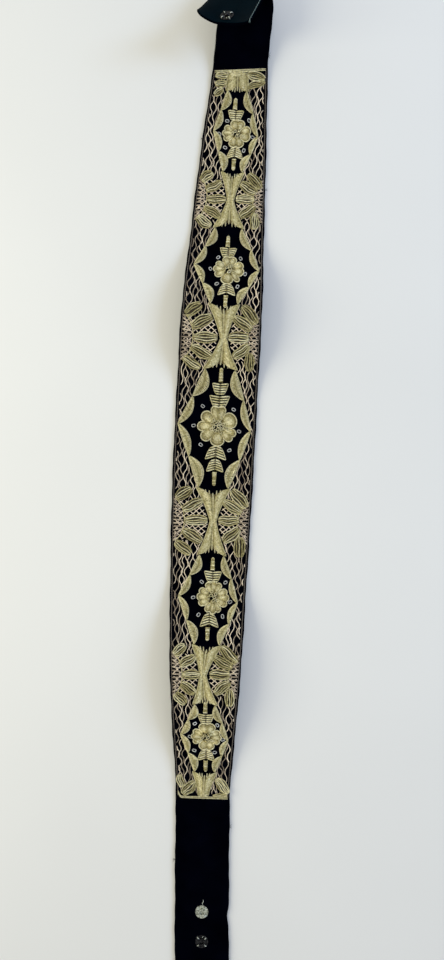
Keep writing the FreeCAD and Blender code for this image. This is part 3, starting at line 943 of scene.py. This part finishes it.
def cross_net(pile, low, high, inside):
    """Two sets of slanting threads that cross."""
    widest = half_width(np.array([low, high])).max() + 2
    for way in (-1, 1):
        for at in np.arange(low - widest, high + widest, CROSS_NET_GAP):
            across = np.arange(-widest, widest, 0.8)
            along = at + way * CROSS_NET_SLOPE * across + 0.3 * np.sin(across * 0.7 + at)
            for path in runs(np.column_stack([across, along]), inside):
                tone = RANDOM.uniform(0.5, 1.0)
                pile.wire(raised(path, 0.28 + 0.1 * way), FINE_THREAD * 1.25, tone, sides=5)


# ---- the embroidery's layout ----


def waist_middle(k):
    """(across, along) of waist k, with the two end bands as the first and last."""
    ends = [(0.0, EMBROIDERY_TOP), *[(across, along) for along, across in WAISTS], (1.0, EMBROIDERY_BOTTOM)]
    return ends[k]


def flower_place(medallion):
    return medallion.flower, medallion.heart


def tip(medallion, upper):
    """Middle and half width of a medallion's blunt tip."""
    stem_across, along = (medallion.upper_stem, medallion.upper) if upper else (
        medallion.lower_stem, medallion.lower)
    return (0.6 * stem_across, along), TIP_SHARE * (medallion.right - medallion.left) / 2


def leaf_line(medallion, side):
    """Where the leaves of one side start and end, from the upper tip to the lower."""
    apex = np.array([medallion.right if side > 0 else medallion.left, medallion.middle - 1.8 * side])
    places = []
    for upper, share in ((True, 0.50 + 0.05 * side), (False, 0.50 + 0.03 * side)):
        middle, half = tip(medallion, upper)
        corner = np.array([middle[0] + side * (half + 1.0), middle[1] - (0.8 if upper else -0.8)])
        bend = np.array([corner[0] + (apex[0] - corner[0]) * share, corner[1] + (apex[1] - corner[1]) * 0.49])
        places.append([corner, bend])
    return [*places[0], apex, *places[1][::-1]]


def inner_line(side):
    """(along, across) of the line between the gold work and the nets, over the whole strap."""
    places = [(EMBROIDERY_TOP, side * 5.5)]
    for k, medallion in enumerate(MEDALLIONS):
        places += [(along, across) for across, along in leaf_line(medallion, side)]
        across, along = waist_middle(k + 1)
        places.append((along, across + side * (WAIST_HALF + 0.8)))
    return np.array(sorted(places)).T


INNER = {side: inner_line(side) for side in (-1, 1)}


def between_gold_and_edge(across, along):
    """Whether a place is on the open ground beside the gold work."""
    inside = np.abs(across) < half_width(along) - EDGE_INSET - 0.6
    for side in (-1, 1):
        inner = np.interp(along, *INNER[side])
        inside &= (side * across < 0) | (side * across > side * inner + 0.3)
    return inside


def near_a_waist(along):
    return np.min([np.abs(along - w) / FAN_REACH for w, _ in WAISTS], axis=0) < 1


def finish(pile, name, materials, body, slot, *nodes):
    """Build a piece, and have it ride on its body in place of its CAD nodes."""
    piece = pile.build(name, materials)
    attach(piece, body)
    if nodes:
        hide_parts(*nodes)


def stitched(pile, node, slot, *materials):
    """Build a piece of embroidery in place of its CAD node on the band."""
    finish(pile, "stitched_" + node, materials, "band", slot, node)


def leaves(medallion):
    """Eight border leaves round the dark field."""
    pile = Pile()
    for side in (-1, 1):
        places = leaf_line(medallion, side)
        depths = [medallion.tip_depth, medallion.apex_depth, medallion.apex_depth, medallion.tip_depth]
        for first, second, depth in zip(places, places[1:], depths):
            leaf(pile, first, second, depth * (1.06 if side < 0 else 0.92), -side)
    return pile


def flower(medallion, petals):
    """Petals round a flower's heart, each of a slightly different size."""
    pile = Pile()
    for first, last, lobes in petals:
        radius = medallion.radius * RANDOM.uniform(0.96, 1.03)
        petal(pile, flower_place(medallion), radius, first, last, lobes)
    return pile


def stems(medallion, trees):
    """Widening trees and a stem on each side of the flower, in proportion to it."""
    pile = Pile()
    size = medallion.radius / PLAIN_RADIUS
    for upper in (True, False):
        across, way = (medallion.upper_stem, 1) if upper else (medallion.lower_stem, -1)
        at = medallion.heart + way * medallion.radius * (0.90 if upper else 0.98)
        lean, bar_slope = (medallion.flower - across) / 2, 0.12 if upper else 0.34
        for n in range(trees):
            tall = TREE_LENGTH * min(size, 1.06) * (1 if n == 0 else 0.94)
            wide = (TREE_WIDTH - 3 * n) * min(size, 1.15) * (1.0 if upper else 1.05)
            tree(pile, across + lean / (n + 1.5), at, at + way * tall, wide * 0.55, wide, bar_slope)
            at += way * (tall + 0.1)
        stem(pile, across, at - way * 0.4, at + way * STEM_LENGTH * min(size, 1.08))
    return pile


def rings(medallion):
    """Six small rings round the flower."""
    pile = Pile()
    for across, along in RING_PLACES:
        middle = (medallion.flower + across * medallion.radius + RANDOM.normal(0, 0.5),
                  medallion.heart + along * medallion.radius + RANDOM.normal(0, 0.5))
        chip_ring(pile, middle, (1.5, 1.05), 0.45, 0.65, RANDOM.uniform(0.6, 1.0), 0.36)
    return pile


def nets(k):
    """The open ground of medallion k, from waist to waist: a long net, and a crossed one at the waists."""
    pile = Pile()
    high = waist_middle(k)[1] - (3.0 if k == 0 else 0.2)
    low = waist_middle(k + 1)[1] + (3.0 if k == len(MEDALLIONS) - 1 else 0.2)

    def open_ground(across, along):
        return between_gold_and_edge(across, along) & (along < high) & (along > low)

    long_net(pile, low, high, lambda t, s: open_ground(t, s) & ~near_a_waist(s))
    cross_net(pile, low, high, lambda t, s: open_ground(t, s) & near_a_waist(s))
    return pile


def medallion_pieces(k, medallion):
    """The five pieces of one medallion, made in a fixed order, which sets how the random draws fall."""
    name = "medallion_%d_" % (k + 1)
    stitched(leaves(medallion), name + "leaves", "gold_purl", GOLD, SHADED_LEAF_PADDING)
    stitched(flower(medallion, PETALS[k]), name + "flower", "gold_purl", PALE_PURL, SHADED_LEAF_PADDING)
    stitched(stems(medallion, TREES[k]), name + "stems", "gold_purl", PALE_PURL, SHADED_GOLD_PADDING)
    stitched(rings(medallion), name + "rings", "silver_purl", SILVER)
    stitched(nets(k), name + "net", "net_thread", NET_THREAD)


def flower_centre_piece():
    pile = Pile()
    for medallion, count in zip(MEDALLIONS, CENTRE_LOOPS):
        flower_centre(pile, flower_place(medallion), medallion.radius, count)
    stitched(pile, "flower_centres", "gold_purl", GOLD)


def calyx_piece():
    """The hourglass on every waist: two flared halves from the waist to the tips beside it."""
    pile = Pile()
    for k in range(1, len(WAISTS) + 1):
        waist = waist_middle(k)
        for medallion, upper in ((MEDALLIONS[k - 1], False), (MEDALLIONS[k], True)):
            end, half = tip(medallion, upper)
            calyx(pile, waist, end, WAIST_HALF, half)
    stitched(pile, "calyxes", "gold_purl", GOLD, SHADED_LEAF_PADDING)


def fan_piece(k):
    """Two half rosettes of blades on one waist, with their hubs and combs at the edges."""
    pile = Pile()
    middle, at = waist_middle(k)
    half = half_width(at)
    across_scale = half / FULL_HALF
    reaches = {1: (MEDALLIONS[k - 1].lower - at) / 28, -1: (at - MEDALLIONS[k].upper) / 28}

    def rim(along):
        return half_width(along) - EDGE_INSET - 0.8

    def hub(offset):
        share = np.clip(np.abs(offset) / HUB_HALF, 0, 1)
        return HUB_DEPTH * (1 - share ** 2) ** 0.7 * across_scale

    for side, blades in ((-1, LEFT_BLADES), (1, RIGHT_BLADES)):
        for first_along, first_depth, last_along, last_across in blades:
            scale = reaches[1 if last_along > 0 else -1]
            start_along = at + first_along * scale
            start = (side * (rim(start_along) - first_depth * across_scale), start_along)
            end = (side * last_across * across_scale + middle * 0.5, at + last_along * scale)
            blade(pile, start, end, RANDOM.uniform(7.9, 9.2) * (0.4 + 0.6 * scale), FAN_WIRES)
        for offset in np.arange(-16.2, 16.3, 2.7):
            outer = (side * (rim(at + offset * 1.12) + 0.9), at + offset * 1.12)
            inner = (side * (rim(at + offset) - hub(offset) + 1.2), at + offset * 0.93)
            pile.wire(raised(line(outer, inner, 6), [0.3, 0.5, 0.6, 0.6, 0.5, 0.3]), PURL * 1.25,
                      RANDOM.uniform(0.0, 0.4), slot=2)
        offsets = np.linspace(-HUB_HALF, HUB_HALF, 34)
        arc = np.column_stack([side * (rim(at + offsets) - hub(offsets)), at + offsets])
        pile.wire(raised(arc, 0.55), THREAD, 0.7)
    stitched(pile, "waist_%d_fans" % k, "gold_purl", GOLD, SHADED_GOLD_PADDING, NET_THREAD)


def band_piece(upper):
    """The closed end of the embroidery: a border, a toothed block and blades in both corners."""
    pile = Pile()
    border, way = (EMBROIDERY_TOP, -1) if upper else (EMBROIDERY_BOTTOM, 1)
    tilt = 0.085 if upper else 0.02
    wide = half_width(border) - EDGE_INSET + 0.3
    end, half = tip(MEDALLIONS[0 if upper else -1], upper)
    if upper:
        calyx(pile, (-2.0, border - 1.8), end, 8.6, half, 0.06)
    else:
        calyx(pile, (0.3, border + 2.4), end, 4.4, half)
    for drop in (0.0, 1.1):
        across = np.linspace(-wide, wide, 50)
        round_off = 0 if upper else 5.0 * np.clip((4 - wide - across) / 4, 0, 1) ** 2.5
        along = border + tilt * across + way * (drop + round_off)
        pile.wire(track(across, along, 0.5), THREAD, 0.75)
    for first_across, first_drop, last_across, last_drop, size, wires in (
            TOP_BLADES if upper else BOTTOM_BLADES):
        first = (first_across, border + way * first_drop + tilt * first_across)
        last = (last_across, border + way * last_drop + tilt * last_across)
        blade(pile, first, last, size, wires)
    stitched(pile, "end_band_top" if upper else "end_band_bottom", "gold_purl", GOLD, SHADED_GOLD_PADDING)


def edge_cord_piece(side):
    """A thin cord of two twisted strands along one edge."""
    pile = Pile()
    along = np.arange(EMBROIDERY_BOTTOM + 1.5, EMBROIDERY_TOP + 0.7 * side, 0.7)
    for strand in (0, math.pi):
        turn = along * 2 * math.pi / 3.2 + strand
        across = side * (half_width(along) - 2.0) + 0.22 * np.cos(turn)
        pile.wire(track(across, along, 0.4 + 0.18 * np.sin(turn)), STRAND, 0.5, sides=5)
    stitched(pile, "edge_cord_left" if side < 0 else "edge_cord_right", "net_thread", EDGE_THREAD)


# ---- studs and loose threads ----


def on_flap(across, along, height):
    """Places on the lining side of the folded flap, with the height over the lining."""
    return folded(lay(across, along, curl(across, along) - FACE - height))


# Name, body, middle along, places on its face, length of the loose end and painted tone of the outer strands:
# lit at the near stud, painted shade at the others
STUDS = [
    ("near", "band", -415.6, lay, 1.0, 0.75),
    ("end", "tail", -441.0, lay, 0.5, 0.0),
    ("flap", "flap", 428.2, on_flap, 0.4, 0.0),
]


def stud_thread_piece(name, body, middle, place, loose, painted_outer_tone):
    """The stitches that hold a stud: at each hole a strand painted bright as a glint between two outer ones
    in the stud's painted tone, and a loose end.
    """
    pile = Pile(place)
    for hole in range(4):
        for strand in (-0.16, 0.0, 0.17):
            angle = math.radians(45 + 90 * hole) + strand
            reach = np.array([3.0, 3.9, 4.9, 5.4 + RANDOM.uniform(0, 0.5)])
            height = np.array([0.9, 1.35, 1.1, 0.05])
            path = track(reach * math.cos(angle), middle + reach * math.sin(angle), height)
            # The middle strand is painted bright, as a glint; the outer ones take the painted tone.
            pile.wire(path, STRAND, 0.95 if strand == 0.0 else painted_outer_tone, sides=5)
    end = np.array([(1.0, 5.6, 0.2), (0.4, 7.4, 0.5), (1.4, 8.8, 0.4), (1.1, 10.2, 0.15)]) * (1, loose, 1)
    pile.wire(end + (0, middle, 0), STRAND * 0.9, 0.9, sides=5)
    finish(pile, "stitches_" + name, [STUD_THREAD], body, "sewing_thread", "stud_threads_" + name)


def hem_piece():
    """The thread that catches the lining's edge down the right of the flap, with its end left long."""
    pile = Pile(on_flap)
    along = np.arange(392.0, FLAP_END - 2.5, 0.8)
    across = half_width(along) - LINING_INSET - 0.9 + 0.15 * np.sin(along * 1.9)
    pile.wire(track(across, along, 0.12 + 0.1 * np.sin(along * 3.1)), HEM_STRAND, 0.8, sides=5)
    loose = line((across[-1], along[-1]), (across[-1] + 1.6, FLAP_END + 2.6), 5)
    for spread in (-0.5, 0.4):
        end = loose + np.linspace(0, spread, 5)[:, None] * (1, 0)
        pile.wire(raised(end, 0.2), HEM_STRAND - 0.02, 0.9, sides=5)
    finish(pile, "flap_hem_thread", [HEM_THREAD], "flap", "sewing_thread")


def stray_thread_piece():
    """Frayed ends that stand out from the edges."""
    pile = Pile()
    for side, along, reach in FRAYED_ENDS:
        for strand in range(4):
            spread = RANDOM.normal(0, 0.9)
            share = np.linspace(0, 1, 6)
            across = side * (half_width(along) - 1.5 + (reach + 0.8) * share)
            bent = along + spread * share ** 2 * 1.6
            pile.wire(track(across, bent, -0.4 - 0.5 * share), FRAYED, 0.4, sides=4)
    finish(pile, "frayed_ends", [SEWING_THREAD], "band", "sewing_thread")


def dress_metal():
    """New materials for the studs and springs, which keep their CAD shape."""
    for name, node in frame["nodes"].items():
        if name.startswith(("socket_near", "socket_end", "flap_ball", "socket_spring")):
            # The near stud takes the lit stud metal; the end and flap studs take the copy with painted shade.
            bright = STUD_METAL if name == "socket_near" else SHADED_STUD_METAL
            node.data.materials.clear()
            node.data.materials.append(SPRING_STEEL if "spring" in name else bright)


# ---- stage ----

# In metres: half the paper's side, and the gap that keeps it clear of the strap
PAPER_HALF = 3.0
PAPER_GAP = 0.0002
# Name, place, target, size, watts and colour
LIGHTS = [
    ("warm_left", (-0.95, 0.02, 0.70), (0, 0, 0), (0.30, 0.8), 8.0, (1.0, 0.96, 0.73)),
    ("cool_right", (1.50, 0.60, 1.20), (0, 0.05, 0), (0.5, 1.0), 20.0, (0.50, 0.67, 1.0)),
]
ROOM_COLOUR = (0.96, 0.95, 0.89, 1)
ROOM_STRENGTH = 0.64
CAMERA_PLACE = (0.00814, -0.0452, 0.750)
CAMERA_TURN = 3
LENS = 32.7


def make_floor():
    """A sheet of white paper, a little uneven in tone."""
    look = Look("white_paper")
    look.set(
        Base_Color=look.ramp(look.noise(3, 3), (0.3, (0.70, 0.70, 0.695)), (0.7, (0.735, 0.735, 0.73))),
        Roughness=0.75,
    )
    look.bump(look.noise(400, 3), 0.05, 0.0005)
    mesh = bpy.data.meshes.new("floor")
    corners = [(-1, -1), (1, -1), (1, 1), (-1, 1)]
    mesh.from_pydata([(x * PAPER_HALF, y * PAPER_HALF, 0) for x, y in corners], [], [(0, 1, 2, 3)])
    mesh.materials.append(look.material)
    floor = bpy.data.objects.new("floor", mesh)
    floor.location.z = -PAPER_GAP
    bpy.context.scene.collection.objects.link(floor)
    return floor


def area_light(name, place, target, size, power, colour):
    data = bpy.data.lights.new(name, "AREA")
    data.shape = "RECTANGLE"
    data.size, data.size_y = size
    data.energy = power
    data.color = colour
    light = bpy.data.objects.new(name, data)
    light.location = place
    light.rotation_euler = (Vector(target) - Vector(place)).to_track_quat("-Z", "Y").to_euler()
    bpy.context.scene.collection.objects.link(light)


def make_lights():
    """Pale light from the left, blue light from the upper right and a warm room."""
    for light in LIGHTS:
        area_light(*light)
    world = bpy.data.worlds.new("room")
    world.use_nodes = True
    background = world.node_tree.nodes["Background"]
    background.inputs["Color"].default_value = ROOM_COLOUR
    background.inputs["Strength"].default_value = ROOM_STRENGTH
    scene = bpy.context.scene
    scene.world = world
    scene.view_settings.view_transform = "Standard"


def make_camera():
    """Straight above the strap, turned a little."""
    data = bpy.data.cameras.new("camera")
    data.sensor_width = 36.0
    data.lens = LENS
    camera = bpy.data.objects.new("camera", data)
    camera.location = CAMERA_PLACE
    camera.rotation_euler = (0, 0, math.radians(CAMERA_TURN))
    bpy.context.scene.collection.objects.link(camera)
    bpy.context.scene.camera = camera


def main():
    make_camera()
    make_lights()
    make_cloth(make_floor())
    for k, medallion in enumerate(MEDALLIONS):
        medallion_pieces(k, medallion)
    flower_centre_piece()
    calyx_piece()
    for k in range(1, len(WAISTS) + 1):
        fan_piece(k)
    for choice in (True, False):
        band_piece(choice)
    for side in (-1, 1):
        edge_cord_piece(side)
    for stud in STUDS:
        stud_thread_piece(*stud)
    hem_piece()
    stray_thread_piece()
    dress_metal()


main()
